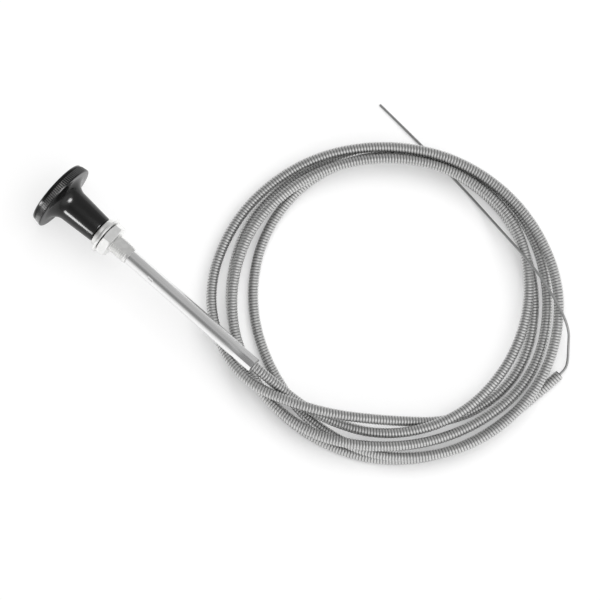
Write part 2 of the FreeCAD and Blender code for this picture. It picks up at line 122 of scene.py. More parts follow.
# %% [markdown]
# ## The route of the conduit
#
# The conduit comes straight out of the barrel and goes round four and a quarter times. The
# two tables say, at every 30 degrees, how far it is from the coil's middle and how high it
# lies, since it passes over and under itself. The rows are turns, and each row after the
# first starts at 180 degrees.
#
# These numbers were not chosen by hand. A fitting program, which isn't part of this script,
# laid the route over the strands of the photograph while it kept them clear of each other,
# and its result was rounded to a tenth of a millimetre. The message that asked for this
# script doesn't allow such a table, and report.md says so.
#
# A NURBS curve of order 3 has those places as its control points. Such a curve runs
# inside the corners of its control points, so they stand a little further out.

# %% The route of the conduit
STEP = 30
REACH = (
    (66.8, 70.0, 70.3, 68.6, 69.7, 72.6, 70.5, 68.3, 69.5, 73.1),
    (74.4, 76.6, 78.1, 76.3, 77.2, 80.9, 79.0, 77.9, 74.9, 71.7, 69.8, 66.5),
    (64.0, 64.6, 71.5, 80.4, 85.5, 86.9, 84.8, 79.2, 75.1, 73.8, 77.2, 81.6),
    (85.5, 82.1, 67.7, 61.9, 70.3, 74.5, 72.4, 72.1, 71.8, 73.9, 75.7, 76.2),
    (75.1, 74.9, 77.0, 80.8, 82.9),
)
LIFT = (
    (7.7, 12.3, 14.0, 12.7, 11.5, 11.7, 12.5, 12.9, 11.6, 9.8),
    (8.6, 9.0, 11.6, 13.4, 10.4, 6.0, 5.2, 7.1, 9.5, 8.5, 5.8, 3.6),
    (2.8, 3.4, 5.6, 8.4, 9.0, 9.4, 10.4, 12.7, 15.0, 13.5, 9.6, 6.8),
    (7.5, 13.5, 18.6, 13.6, 5.9, 2.7, 3.0, 4.3, 4.5, 2.9, 2.6, 2.6),
    (2.7, 2.7, 2.6, 2.6, 2.8),
)
FIRST_BEARING = 240
CONDUIT_DIAMETER = 5.2
CONDUIT_START = 90.0
BARREL_END = 98.4
CONDUIT_END = (81.0, -41.4)
CONDUIT_END_BEARING = math.radians(42.0)


def conduit_controls():
    """Control points of the conduit's route, from inside the barrel to its cut end."""
    proud = 1 / math.cos(math.radians(STEP / 2))
    points = [Vector((x * MM, 0, 0)) for x in (CONDUIT_START, BARREL_END)]
    points.append(Vector((BARREL_END + 6.9, 0, -0.3)) * MM)
    bearing = FIRST_BEARING
    for reaches, lifts in zip(REACH, LIFT):
        for reach, lift in zip(reaches, lifts):
            c, s = math.cos(math.radians(bearing)), math.sin(math.radians(bearing))
            points.append(on_floor(reach * proud * c, reach * proud * s, lift))
            bearing += STEP
    c, s = math.cos(CONDUIT_END_BEARING), math.sin(CONDUIT_END_BEARING)
    for ahead in (-6.0, 0, CONDUIT_DIAMETER):
        points.append(on_floor(CONDUIT_END[0] + ahead * c, CONDUIT_END[1] + ahead * s, CONDUIT_DIAMETER / 2))
    return points


def smooth_curve(name, points, fineness):
    """A 3-D NURBS curve of order 3 through the ends of its control points."""
    data = bpy.data.curves.new(name, "CURVE")
    data.dimensions = "3D"
    spline = data.splines.new("NURBS")
    spline.points.add(len(points) - 1)
    for point, place in zip(spline.points, points):
        point.co = (*place, 1)
    spline.order_u = 3
    spline.use_endpoint_u = True
    spline.resolution_u = fineness
    data.resolution_u = fineness
    curve = bpy.data.objects.new(name, data)
    bpy.context.scene.collection.objects.link(curve)
    return curve


def points_of(curve):
    """Places along a curve that has no bevel, as Blender draws it."""
    bpy.context.view_layer.update()
    seen = curve.evaluated_get(bpy.context.evaluated_depsgraph_get())
    mesh = bpy.data.meshes.new_from_object(seen)
    places = [v.co.copy() for v in mesh.vertices]
    bpy.data.meshes.remove(mesh)
    return places


def length_of(places):
    return sum((b - a).length for a, b in zip(places, places[1:]))


conduit_route = smooth_curve("conduit_route", conduit_controls(), 16)
conduit_path = points_of(conduit_route)
conduit_length = length_of(conduit_path)
print("conduit: %.3f m in %d places" % (conduit_length, len(conduit_path)))

# %% [markdown]
# ## Small tools for pieces
#
# Every rigid piece starts as a bmesh. These few lines turn a finished bmesh into an object
# that rides on a body of the model, takes the place of a solid, and shades smoothly except
# at its real edges.

# %% Tools for pieces
SHARP = math.radians(35)


def finish_piece(bm, name, body, stands_for, sharp=SHARP):
    mesh = bpy.data.meshes.new(name)
    bm.to_mesh(mesh)
    bm.free()
    mesh.shade_smooth()
    mesh.set_sharp_from_angle(angle=sharp)
    piece = bpy.data.objects.new(name, mesh)
    bpy.context.scene.collection.objects.link(piece)
    place_piece(piece, body, stands_for)
    print("%s: %d faces" % (name, len(mesh.polygons)))
    return piece


def place_piece(piece, body, stands_for):
    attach(piece, body)
    if stands_for:
        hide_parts(*stands_for)


def close_and_face_out(bm):
    """Merges doubles, then turns every face outwards."""
    bmesh.ops.remove_doubles(bm, verts=bm.verts, dist=0.002 * MM)
    bmesh.ops.recalc_face_normals(bm, faces=bm.faces)


def lathe(profile, steps):
    """Spins a line of (x, radius) places, in millimetres, about the barrel's axis."""
    bm = bmesh.new()
    verts = [bm.verts.new((x * MM, 0, r * MM)) for x, r in profile]
    edges = [bm.edges.new(pair) for pair in zip(verts, verts[1:])]
    bmesh.ops.spin(bm, geom=verts + edges, cent=(0, 0, 0), axis=(1, 0, 0), dvec=(0, 0, 0),
                   angle=2 * math.pi, steps=steps, use_merge=True, use_duplicate=False)
    close_and_face_out(bm)
    return bm


def round_off(bm, edges, radius, segments=3):
    bmesh.ops.bevel(bm, geom=edges, offset=radius * MM, offset_type="OFFSET", segments=segments,
                    profile=0.5, affect="EDGES", clamp_overlap=True, material=-1)


def rings_at(bm, places):
    """The edges that run round the axis at these (x, radius) places."""
    found = []
    for edge in bm.edges:
        spots = [(v.co.x / MM, math.hypot(v.co.y, v.co.z) / MM) for v in edge.verts]
        for x, r in places:
            if all(abs(sx - x) < 0.01 and abs(sr - r) < 0.02 for sx, sr in spots):
                found.append(edge)
    return found


def arc(centre, radius, start, end, count):
    """Places on an arc in the (x, radius) plane, its angles in degrees."""
    angles = [math.radians(start + (end - start) * k / count) for k in range(count + 1)]
    return [(centre[0] + radius * math.cos(a), centre[1] + radius * math.sin(a)) for a in angles]


# %% [markdown]
# ## The wound conduit
#
# Real conduit is one steel wire wound into a tight tube, and its turns show as ribs about
# one and a half millimetres apart. A plain tube with a striped colour would do from afar,
# but the light on real ribs changes as the conduit bends. So one turn of the wire is spun
# with a rise of one pitch, doubled again and again until it is as long as the conduit, cut
# square at both ends, and then bent along the route by a Curve modifier.

# %% One turn of the winding
PITCH = 1.46
RIB_TOP = 2.6
RIB_FOOT = 2.2
BORE = 1.1
ROUND = 12


def one_turn():
    """One pitch of the wound wire: its round back outside and its flat side in the bore."""
    bm = bmesh.new()
    half = PITCH / 2
    back = [(-half, RIB_FOOT), (-half * 0.55, RIB_TOP - 0.08), (0, RIB_TOP), (half * 0.55, RIB_TOP - 0.08),
            (half, RIB_FOOT)]
    for line in (back, [(-half, BORE), (half, BORE)]):
        verts = [bm.verts.new((x * MM, 0, r * MM)) for x, r in line]
        edges = [bm.edges.new(pair) for pair in zip(verts, verts[1:])]
        bmesh.ops.spin(bm, geom=verts + edges, cent=(0, 0, 0), axis=(1, 0, 0), dvec=(PITCH * MM / ROUND, 0, 0),
                       angle=2 * math.pi, steps=ROUND, use_merge=False, use_duplicate=False)
    return bm


# %% The whole winding, straight
def straight_winding(length):
    """As many turns as the length takes, cut square at both ends and closed there."""
    bm = one_turn()
    turns = 1
    while turns * PITCH * MM < length + 2 * PITCH * MM:
        copy = bmesh.ops.duplicate(bm, geom=bm.verts[:] + bm.edges[:] + bm.faces[:])
        moved = [g for g in copy["geom"] if isinstance(g, bmesh.types.BMVert)]
        bmesh.ops.translate(bm, verts=moved, vec=(turns * PITCH * MM, 0, 0))
        turns *= 2
    bmesh.ops.translate(bm, verts=bm.verts, vec=(-PITCH * MM, 0, 0))
    bmesh.ops.remove_doubles(bm, verts=bm.verts, dist=0.01 * MM)
    for x, side in ((0, -1), (length, 1)):
        whole = bm.verts[:] + bm.edges[:] + bm.faces[:]
        bmesh.ops.bisect_plane(bm, geom=whole, plane_co=(x, 0, 0), plane_no=(side, 0, 0), clear_outer=True)
        rim = [e for e in bm.edges if e.is_boundary and all(abs(v.co.x - x) < 0.01 * MM for v in e.verts)]
        bmesh.ops.bridge_loops(bm, edges=rim)
    return bm


winding = straight_winding(conduit_length - 0.05 * MM)
crown = winding.verts.layers.float.new("crown")
for vert in winding.verts:
    radius = math.hypot(vert.co.y, vert.co.z) / MM
    vert[crown] = min(max((radius - RIB_FOOT) / (RIB_TOP - RIB_FOOT), 0), 1)
bmesh.ops.recalc_face_normals(winding, faces=winding.faces)
print("straight winding: %d faces" % len(winding.faces))

# %% [markdown]
# The Curve modifier reads X as the distance along the route. Its result is kept as a
# plain mesh, so that the route itself can go and the object stays at the origin.

# %% The winding along its route
straight_mesh = bpy.data.meshes.new("straight_winding")
winding.to_mesh(straight_mesh)
winding.free()
straight = bpy.data.objects.new("straight_winding", straight_mesh)
bpy.context.scene.collection.objects.link(straight)
bend = straight.modifiers.new("along_the_route", "CURVE")
bend.object = conduit_route
bend.deform_axis = "POS_X"
bpy.context.view_layer.update()
bent_mesh = bpy.data.meshes.new_from_object(straight.evaluated_get(bpy.context.evaluated_depsgraph_get()))
bpy.data.objects.remove(straight)
bpy.data.objects.remove(conduit_route)
bent_mesh.shade_smooth()
conduit = bpy.data.objects.new("wound_conduit", bent_mesh)
bpy.context.scene.collection.objects.link(conduit)
place_piece(conduit, "cable", ["conduit", "wire_core"])
print("wound conduit: %d faces" % len(bent_mesh.polygons))

# %% [markdown]
# ## The free wire
#
# One stiff steel wire leaves the conduit's end, bends up over the outer turns, comes down
# inside the coil and slips out under the far side. A curve with a round bevel gives it its
# thickness, and is then kept as a mesh with its line beside it.
#
# Its points weren't chosen by hand either. A fitting program gave the first seven, with
# heights that were then rounded, and the short straight before them. The last two differ
# a little from its result. The message asks for points chosen by hand, and report.md says
# that these aren't.

# %% The free wire
WIRE_DIAMETER = 1.3
WIRE_ROUTE = (
    (88.9, -32.4, 2.75),
    (89.3, -24.6, 4.8),
    (89.6, -16.9, 12.0),
    (83.5, -4.3, 15.5),
    (72.1, 12.8, 18.6),
    (58.1, 31.4, 9.0),
    (42.1, 52.4, 0.8),
    (20.5, 76.2, 0.75),
    (-2.4, 99.2, 0.75),
)
WIRE_STRAIGHT = 2.9
conduit_tip = conduit_path[-1]
ahead = (conduit_tip - conduit_path[-2]).normalized() * WIRE_STRAIGHT * MM
wire_places = [conduit_tip, conduit_tip + ahead] + [on_floor(*spot) for spot in WIRE_ROUTE]
wire_curve = smooth_curve("wire_route", wire_places, 16)
wire_path = points_of(wire_curve)
wire_curve.data.bevel_depth = WIRE_DIAMETER / 2 * MM
wire_curve.data.bevel_resolution = 4
wire_curve.data.use_fill_caps = True
bpy.context.view_layer.update()
seen_wire = wire_curve.evaluated_get(bpy.context.evaluated_depsgraph_get())
wire = bpy.data.objects.new("free_wire", bpy.data.meshes.new_from_object(seen_wire))
bpy.data.objects.remove(wire_curve)
bpy.context.scene.collection.objects.link(wire)
wire.data.shade_smooth()
place_piece(wire, "cable", ["wire_tail"])
print("free wire: %.3f m, %d faces" % (length_of(wire_path), len(wire.data.polygons)))

# %% [markdown]
# ## Shader sums in plain Python
#
# Patterns are easier to read as sums than as boxes and wires. A Value is a socket that can
# be added, taken away and multiplied, and each sum adds its Math node. A NodeKit has one way
# to add any other node, and a Finish is a NodeKit for one material.

# %% Shader tools
class Value:
    """A shader socket that works in Python sums."""

    def __init__(self, kit, socket):
        self.kit = kit
        self.socket = socket

    def maths(self, operation, *others):
        return self.kit.node("ShaderNodeMath", {"operation": operation}, dict(enumerate(others)))

    def __add__(self, other):
        return self.maths("ADD", self, other)

    def __mul__(self, other):
        return self.maths("MULTIPLY", self, other)

    def __sub__(self, other):
        return self.maths("SUBTRACT", self, other)

    def __rsub__(self, other):
        return self.maths("SUBTRACT", other, self)

    __radd__ = __add__
    __rmul__ = __mul__


class NodeKit:
    """A node tree with one way to add any node to it."""

    def __init__(self, tree):
        self.tree = tree

    def put(self, socket, value):
        if isinstance(value, Value):
            self.tree.links.new(value.socket, socket)
        elif isinstance(value, (tuple, list)) and socket.type == "RGBA":
            socket.default_value = (*value, 1)
        else:
            socket.default_value = value

    def node(self, kind, settings=None, values=None, output=0):
        made = self.tree.nodes.new(kind)
        for name, setting in (settings or {}).items():
            if name == "stops":
                elements = made.color_ramp.elements
                while len(elements) < len(setting):
                    elements.new(0.5)
                for element, (position, tone) in zip(elements, setting):
                    element.position = position
                    element.color = (tone, tone, tone, 1)
            else:
                setattr(made, name, setting)
        for socket, value in (values or {}).items():
            self.put(made.inputs[socket], value)
        return Value(self, made.outputs[output])

    def ramp(self, factor, *stops):
        """Grey tones at places from 0 to 1, with smooth steps between them."""
        return self.node("ShaderNodeValToRGB", {"stops": stops}, {"Fac": factor})


class Finish(NodeKit):
    """One material."""

    def __init__(self, name):
        self.material = bpy.data.materials.new(name)
        self.material.use_nodes = True
        super().__init__(self.material.node_tree)
        self.shader = self.tree.nodes["Principled BSDF"]

    def shade(self, **values):
        """Sets the shader's sockets, an underscore standing for a space."""
        for name, value in values.items():
            self.put(self.shader.inputs[name.replace("_", " ").title().replace("Ior", "IOR")], value)

    def places(self, stretch=(1, 1, 1)):
        """Object coordinates in metres, drawn out along an axis where stretch is under 1."""
        seen = self.node("ShaderNodeTexCoord", output="Object")
        return self.node("ShaderNodeMapping", values={"Vector": seen, "Scale": stretch})

    def noise(self, places, scale, detail=2.0):
        return self.node("ShaderNodeTexNoise", values={"Vector": places, "Scale": scale, "Detail": detail})

    def mix(self, amount, first, second):
        return self.node("ShaderNodeMix", {"data_type": "RGBA"}, {0: amount, 6: first, 7: second}, output=2)

    def bump(self, height, strength, distance):
        return self.node("ShaderNodeBump", values={"Height": height, "Strength": strength, "Distance": distance})


# %% [markdown]
# ## The finishes
#
# The knob is black phenolic moulding: nearly black, glossy, with the faint unevenness of
# a moulded skin and a duller bloom where hands and dust reach it. Its mesh carries an
# attribute that is 1 on the backs of the grip's ribs, and these are painted greyer: partly
# wear, partly a painted sheen for the light the rib backs catch.

# %% Black moulding
moulding = Finish("black_moulding")
skin = moulding.noise(moulding.places(), 900.0)
cloud = moulding.noise(moulding.places(), 120.0, 3.0)
# The rib backs are painted a paler grey: partly wear, partly painted sheen.
worn = moulding.node("ShaderNodeAttribute", {"attribute_name": "worn"}, output="Fac")
plain_black = moulding.mix(cloud, (0.002, 0.002, 0.002), (0.005, 0.005, 0.005))
moulding.shade(
    base_color=moulding.mix(worn, plain_black, (0.060, 0.060, 0.060)),
    roughness=0.13 + cloud * 0.12,
    specular_ior_level=0.35,
    normal=moulding.bump(skin, 0.12, 0.00004),
)

# %% [markdown]
# The bushing, washer, nut and barrel are steel with a bright zinc plating. It is not a
# mirror: the plating is a little cloudy, and on the barrel, which is drawn tube, fine lines
# and wider pale and dark streaks run along it. The nut and washer have a lighter copy of it,
# which paints in the extra light they catch.

# %% Plated steel
def plated(name, stretch, dark, light, roughness):
    finish = Finish(name)
    lines = finish.noise(finish.places(stretch), 2200.0, 4.0)
    streaks = finish.noise(finish.places(stretch), 420.0, 3.0)
    cloud = finish.noise(finish.places(), 160.0, 3.0)
    tone = finish.ramp(streaks, (0.35, 0.0), (0.65, 1.0))
    finish.shade(
        base_color=finish.mix(tone, dark, light),
        metallic=1.0,
        roughness=roughness + lines * 0.10 + cloud * 0.08,
        normal=finish.bump(lines, 0.10, 0.00003),
    )
    return finish.material


plating = plated("zinc_plating", (1, 1, 1), (0.76, 0.76, 0.75), (0.87, 0.87, 0.86), 0.24)
# A lighter copy of the same plating for the nut and washer: painted light, for the brighter light on them.
plating_painted_lighter = plated("plating_painted_lighter", (1, 1, 1), (0.90, 0.90, 0.89), (0.97, 0.97, 0.96), 0.26)
drawn_plating = plated("drawn_plating", (0.03, 1, 1), (0.76, 0.76, 0.76), (0.90, 0.90, 0.90), 0.12)

# %% [markdown]
# The conduit's wire is duller drawn steel. The grooves between its turns are painted
# dark, as painted shade where the turns meet, and are rougher than the crowns. The mesh
# carries an attribute, crown, that is 0 in a groove and 1 on a rib's back, and the colour
# follows it.

# %% Wound steel
wound = Finish("wound_steel")
crown_value = wound.node("ShaderNodeAttribute", {"attribute_name": "crown"}, output="Fac")
# Painted shade: the grooves between the turns are painted nearly black.
groove_shade = 1 - wound.ramp(crown_value, (0.0, 0.0), (0.55, 0.75), (1.0, 1.0))
tone = wound.noise(wound.places(), 60.0, 4.0)
steel_tone = wound.mix(tone, (0.58, 0.58, 0.58), (0.76, 0.76, 0.75))
wound.shade(
    base_color=wound.mix(groove_shade, steel_tone, (0.08, 0.08, 0.082)),
    metallic=1.0,
    roughness=0.33 + groove_shade * 0.20 + tone * 0.08,
)

# %% [markdown]
# The inner wire and the small springs are bare drawn spring steel, darker than plating.

# %% Spring steel, ground steel and brass
def bare_metal(name, dark, light, roughness):
    finish = Finish(name)
    lines = finish.noise(finish.places(), 700.0, 4.0)
    finish.shade(base_color=finish.mix(lines, dark, light), metallic=1.0, roughness=roughness + lines * 0.12,
                 normal=finish.bump(lines, 0.08, 0.00002))
    return finish.material


spring_steel = bare_metal("spring_steel", (0.36, 0.36, 0.36), (0.48, 0.48, 0.48), 0.34)
ground_steel = bare_metal("ground_steel", (0.55, 0.55, 0.55), (0.70, 0.70, 0.70), 0.16)
turned_brass = bare_metal("turned_brass", (0.62, 0.44, 0.18), (0.80, 0.60, 0.28), 0.22)
conduit.data.materials.append(wound.material)
wire.data.materials.append(spring_steel)
for name, material in (("knob_insert", turned_brass), ("pull_rod", ground_steel), ("stop_ring", spring_steel),
                       ("friction_ring", spring_steel), ("wire_head", spring_steel)):
    for slot in nodes[name].material_slots:
        slot.material = material

# %% [markdown]
# ## The knob
#
# The knob is one moulding. Its half outline is spun round the axis: base, straight neck,
# the hollow flare, then the rim and a slightly domed face. The rim is a band ribbed for
# grip and a plain bead in front of it, with a fine groove between them. The spin has four
# columns to each of the 96 ribs, and two columns in four are pushed in, which leaves square
# ribs with grooves as wide as they are.

# %% The knob's outline
knob_low, knob_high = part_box("knob")
KNOB_BASE = knob_high.x / MM
FACE = knob_low.x / MM
RIM_FRONT = FACE + 1.2
RIM_BACK = RIM_FRONT + 5.6
NECK_BASE, NECK_TOP = 6.95, 8.2
FLARE_RADIUS = 6.5
RIM_RADIUS, BAND_FRONT_RADIUS = 17.75, 17.3
BEAD_RADIUS, BEAD_WIDTH = 16.95, 1.5
INSERT_LENGTH, INSERT_BORE = 15.0, 3.55
FACE_FLAT = 2.5
RIBS = 96
RIB_DEPTH = 0.34


def knob_outline():
    bead_back = RIM_FRONT + BEAD_WIDTH
    line = [(KNOB_BASE - INSERT_LENGTH, 0), (KNOB_BASE - INSERT_LENGTH, INSERT_BORE), (KNOB_BASE, INSERT_BORE)]
    line += arc((KNOB_BASE - 0.6, NECK_BASE - 0.6), 0.6, 0, 90, 4)
    line += arc((RIM_BACK + FLARE_RADIUS, NECK_TOP + FLARE_RADIUS), FLARE_RADIUS, 270, 180, 14)
    line += arc((RIM_BACK - 0.6, RIM_RADIUS - 0.6), 0.6, 0, 90, 4)
    steps = 5
    band_back, band_front = RIM_BACK - 0.7, bead_back + 0.45
    for k in range(steps + 1):
        share = k / steps
        line.append((band_back + (band_front - band_back) * share,
                     RIM_RADIUS + (BAND_FRONT_RADIUS - RIM_RADIUS) * share))
    line += [(bead_back + 0.2, BEAD_RADIUS - 0.3), (bead_back, BEAD_RADIUS - 0.3), (bead_back - 0.25, BEAD_RADIUS)]
    line += arc((RIM_FRONT + 0.9, BEAD_RADIUS - 0.9), 0.9, 90, 180, 5)
    edge = BEAD_RADIUS - 0.9
    for k in range(1, 7):
        radius = edge + (FACE_FLAT - edge) * k / 6
        line.append((FACE + (RIM_FRONT - FACE) * ((radius - FACE_FLAT) / (edge - FACE_FLAT)) ** 2, radius))
    line.append((FACE, 0))
    return line


# %% The knob
knob_mesh = lathe(knob_outline(), RIBS * 4)
# Marks the rib backs, which the moulding paints paler: partly wear, partly painted sheen.
wear_and_sheen_layer = knob_mesh.verts.layers.float.new("worn")
for vert in knob_mesh.verts:
    x, radius = vert.co.x / MM, math.hypot(vert.co.y, vert.co.z) / MM
    if RIM_FRONT + BEAD_WIDTH + 0.4 < x < RIM_BACK - 0.65 and radius > BEAD_RADIUS:
        column = round(math.atan2(vert.co.y, vert.co.z) / (2 * math.pi) * RIBS * 4) % 4
        if column < 2:
            vert.co.y *= 1 - RIB_DEPTH / radius
            vert.co.z *= 1 - RIB_DEPTH / radius
        vert[wear_and_sheen_layer] = 0 if column < 2 else 1
knob = finish_piece(knob_mesh, "bell_knob", "pull", ["knob"], math.radians(50))
knob.data.materials.append(moulding.material)

# %% [markdown]
# ## The bushing
#
# A round shoulder meets the panel, and a threaded body with one long flat goes through it.
# The thread is a single V spun with a rise of one pitch, 24 turns to the inch. The flat is
# a plane cut through the thread, and the shoulder is spun on its own so the flat spares it.

# %% The bushing's shoulder
SHOULDER = 2.4
SHOULDER_RADIUS = 7.7
ROD_BORE = 2.03
shoulder_line = [(0, ROD_BORE), (-SHOULDER, ROD_BORE), (-SHOULDER, SHOULDER_RADIUS), (0, SHOULDER_RADIUS),
                 (0, ROD_BORE)]
shoulder_mesh = lathe(shoulder_line, 96)
round_off(shoulder_mesh, rings_at(shoulder_mesh, [(-SHOULDER, SHOULDER_RADIUS)]), 0.5)
round_off(shoulder_mesh, rings_at(shoulder_mesh, [(0, SHOULDER_RADIUS)]), 0.7)
round_off(shoulder_mesh, rings_at(shoulder_mesh, [(-SHOULDER, ROD_BORE)]), 0.15)
shoulder = finish_piece(shoulder_mesh, "bushing_shoulder", "cable", ["bushing"])
shoulder.data.materials.append(plating)

# %% [markdown]
# The threaded body is hollow. Its outside is open at both ends at first. The edge at the
# rear end is pulled on, ring by ring, down the sloped end, along the spigot that carries the
# barrel, and back through the bore with its groove, and is then bridged to the front edge.

# %% The bushing's thread
THREAD_RADIUS = 4.76
THREAD_PITCH = 25.4 / 24
THREAD_DEPTH = 0.42
THREAD_ROUND = 72
THREAD_TURNS = 17
BUSHING_END = 16.6
BUSHING_LIP = 1.2
FLAT_HEIGHT = 3.6
FLAT_TURN = math.radians(17.9)
SPIGOT_END = BUSHING_END + 6.0
SPIGOT_RADIUS = 2.72
INSIDE = ((BUSHING_END, 4.27), (BUSHING_END, SPIGOT_RADIUS), (SPIGOT_END - 0.3, SPIGOT_RADIUS),
          (SPIGOT_END, SPIGOT_RADIUS - 0.3), (SPIGOT_END, ROD_BORE), (5.1, ROD_BORE), (5.1, 2.95), (3.0, 2.95),
          (3.0, ROD_BORE), (0, ROD_BORE))


def thread_outside():
    """The thread's skin from the shoulder to the sloped end, open at both ends."""
    bm = bmesh.new()
    half = THREAD_PITCH / 2
    root = THREAD_RADIUS - THREAD_DEPTH
    vee = [(-half, root), (-half * 0.15, THREAD_RADIUS), (half * 0.15, THREAD_RADIUS), (half, root)]
    verts = [bm.verts.new((x * MM, 0, r * MM)) for x, r in vee]
    edges = [bm.edges.new(pair) for pair in zip(verts, verts[1:])]
    bmesh.ops.spin(bm, geom=verts + edges, cent=(0, 0, 0), axis=(1, 0, 0),
                   dvec=(THREAD_PITCH * MM / THREAD_ROUND, 0, 0), angle=2 * math.pi, steps=THREAD_ROUND,
                   use_merge=False, use_duplicate=False)
    turn = bm.verts[:] + bm.edges[:] + bm.faces[:]
    for k in range(1, THREAD_TURNS):
        copy = bmesh.ops.duplicate(bm, geom=turn)
        moved = [g for g in copy["geom"] if isinstance(g, bmesh.types.BMVert)]
        bmesh.ops.translate(bm, verts=moved, vec=(k * THREAD_PITCH * MM, 0, 0))
    bmesh.ops.translate(bm, verts=bm.verts, vec=(-THREAD_PITCH * MM, 0, 0))
    bmesh.ops.remove_doubles(bm, verts=bm.verts, dist=0.002 * MM)
    for x, side in ((0.0, -1), (BUSHING_END - BUSHING_LIP, 1)):
        whole = bm.verts[:] + bm.edges[:] + bm.faces[:]
        bmesh.ops.bisect_plane(bm, geom=whole, plane_co=(x * MM, 0, 0), plane_no=(side, 0, 0), clear_outer=True)
    return bm


def edge_ring(bm, x):
    return [e for e in bm.edges if e.is_boundary and all(abs(v.co.x - x * MM) < 0.01 * MM for v in e.verts)]


thread_mesh = thread_outside()
front_edge = edge_ring(thread_mesh, 0)
ring = edge_ring(thread_mesh, BUSHING_END - BUSHING_LIP)
for x, radius in INSIDE:
    pulled = bmesh.ops.extrude_edge_only(thread_mesh, edges=ring)["geom"]
    for vert in (g for g in pulled if isinstance(g, bmesh.types.BMVert)):
        scale = radius * MM / math.hypot(vert.co.y, vert.co.z)
        vert.co = (x * MM, vert.co.y * scale, vert.co.z * scale)
    ring = [g for g in pulled if isinstance(g, bmesh.types.BMEdge) and g.is_boundary]
bmesh.ops.bridge_loops(thread_mesh, edges=front_edge + ring)
close_and_face_out(thread_mesh)
flat_normal = Vector((0, math.sin(FLAT_TURN), math.cos(FLAT_TURN)))
whole = thread_mesh.verts[:] + thread_mesh.edges[:] + thread_mesh.faces[:]
cut = bmesh.ops.bisect_plane(thread_mesh, geom=whole, plane_co=flat_normal * FLAT_HEIGHT * MM,
                             plane_no=flat_normal, clear_outer=True)
cut_edges = [g for g in cut["geom_cut"] if isinstance(g, bmesh.types.BMEdge)]
bmesh.ops.triangle_fill(thread_mesh, edges=cut_edges, use_beauty=True, normal=flat_normal)
close_and_face_out(thread_mesh)
print("thread: open edges", sum(e.is_boundary for e in thread_mesh.edges))
thread = finish_piece(thread_mesh, "bushing_thread", "cable", ["bushing"])
thread.data.materials.append(plating)

# %% [markdown]
# ## The lock washer
#
# A split spring washer is a short helix: its ends stand a little apart along the axis. So
# its square section is spun through less than a full turn with a small rise. A washer lies
# as it fell on the thread, and here its split is underneath, where it doesn't show.

# %% The lock washer
WASHER_FRONT, WASHER_BACK = 0.35, 1.35
WASHER_BORE, WASHER_RADIUS = 5.1, 9.9
WASHER_SPRING = 0.25
WASHER_GAP = 1.2
SPLIT_TURN = math.radians(180)
washer_mesh = bmesh.new()
half_split = math.asin(WASHER_GAP / 2 / WASHER_RADIUS)
section = [(WASHER_FRONT, WASHER_BORE), (WASHER_BACK, WASHER_BORE), (WASHER_BACK, WASHER_RADIUS),
           (WASHER_FRONT, WASHER_RADIUS)]
corners = [washer_mesh.verts.new(((x - WASHER_SPRING / 2) * MM, 0, r * MM)) for x, r in section]
square = washer_mesh.faces.new(corners)
bmesh.ops.rotate(washer_mesh, verts=corners, cent=(0, 0, 0),
                 matrix=Matrix.Rotation(SPLIT_TURN + half_split, 3, "X"))
bmesh.ops.spin(washer_mesh, geom=[square], cent=(0, 0, 0), axis=(1, 0, 0),
               dvec=(WASHER_SPRING * MM / 90, 0, 0), angle=2 * (math.pi - half_split), steps=90,
               use_merge=False, use_duplicate=False)
close_and_face_out(washer_mesh)
sharp_edges = [e for e in washer_mesh.edges if len(e.link_faces) == 2 and e.calc_face_angle() > math.radians(60)]
round_off(washer_mesh, sharp_edges, 0.12, 2)
washer = finish_piece(washer_mesh, "split_washer", "washer", ["lock_washer"])
washer.data.materials.append(plating_painted_lighter)

# %% [markdown]
# ## The nut
#
# A hexagon bar is faced and its corners are turned down to a cone at both ends. Two solids
# give that shape at once: a hexagonal prism and a spun double cone, and what they share is
# the nut. A Boolean modifier finds it, and its result is kept as a plain mesh.

# %% The nut
NUT_FRONT, NUT_BACK = 1.75, 6.45
NUT_FLATS = 15.875
NUT_TURN = math.radians(37.8)
NUT_FACE = 7.78
CONE_SLOPE = 0.4
nut_corner = NUT_FLATS / math.sqrt(3)
prism = bmesh.new()
bmesh.ops.create_circle(prism, cap_ends=True, segments=6, radius=nut_corner * MM)
bmesh.ops.rotate(prism, verts=prism.verts, cent=(0, 0, 0), matrix=Matrix.Rotation(math.radians(90), 3, "Y"))
first = max(prism.verts, key=lambda v: v.co.z).co
upright = Matrix.Rotation(math.atan2(first.y, first.z), 3, "X")
bmesh.ops.rotate(prism, verts=prism.verts, cent=(0, 0, 0), matrix=Matrix.Rotation(-NUT_TURN, 3, "X") @ upright)
bmesh.ops.translate(prism, verts=prism.verts, vec=(NUT_FRONT * MM, 0, 0))
pulled = bmesh.ops.extrude_face_region(prism, geom=prism.faces[:])
bmesh.ops.translate(prism, verts=[g for g in pulled["geom"] if isinstance(g, bmesh.types.BMVert)],
                    vec=((NUT_BACK - NUT_FRONT) * MM, 0, 0))
close_and_face_out(prism)
cone_out = nut_corner + 0.3
cone_length = (cone_out - NUT_FACE) * CONE_SLOPE
nut_hole = THREAD_RADIUS + 0.08
cone_line = [(NUT_FRONT, nut_hole + 0.35), (NUT_FRONT, NUT_FACE), (NUT_FRONT + cone_length, cone_out),
             (NUT_BACK - cone_length, cone_out), (NUT_BACK, NUT_FACE), (NUT_BACK, nut_hole + 0.35),
             (NUT_BACK - 0.35, nut_hole), (NUT_FRONT + 0.35, nut_hole), (NUT_FRONT, nut_hole + 0.35)]


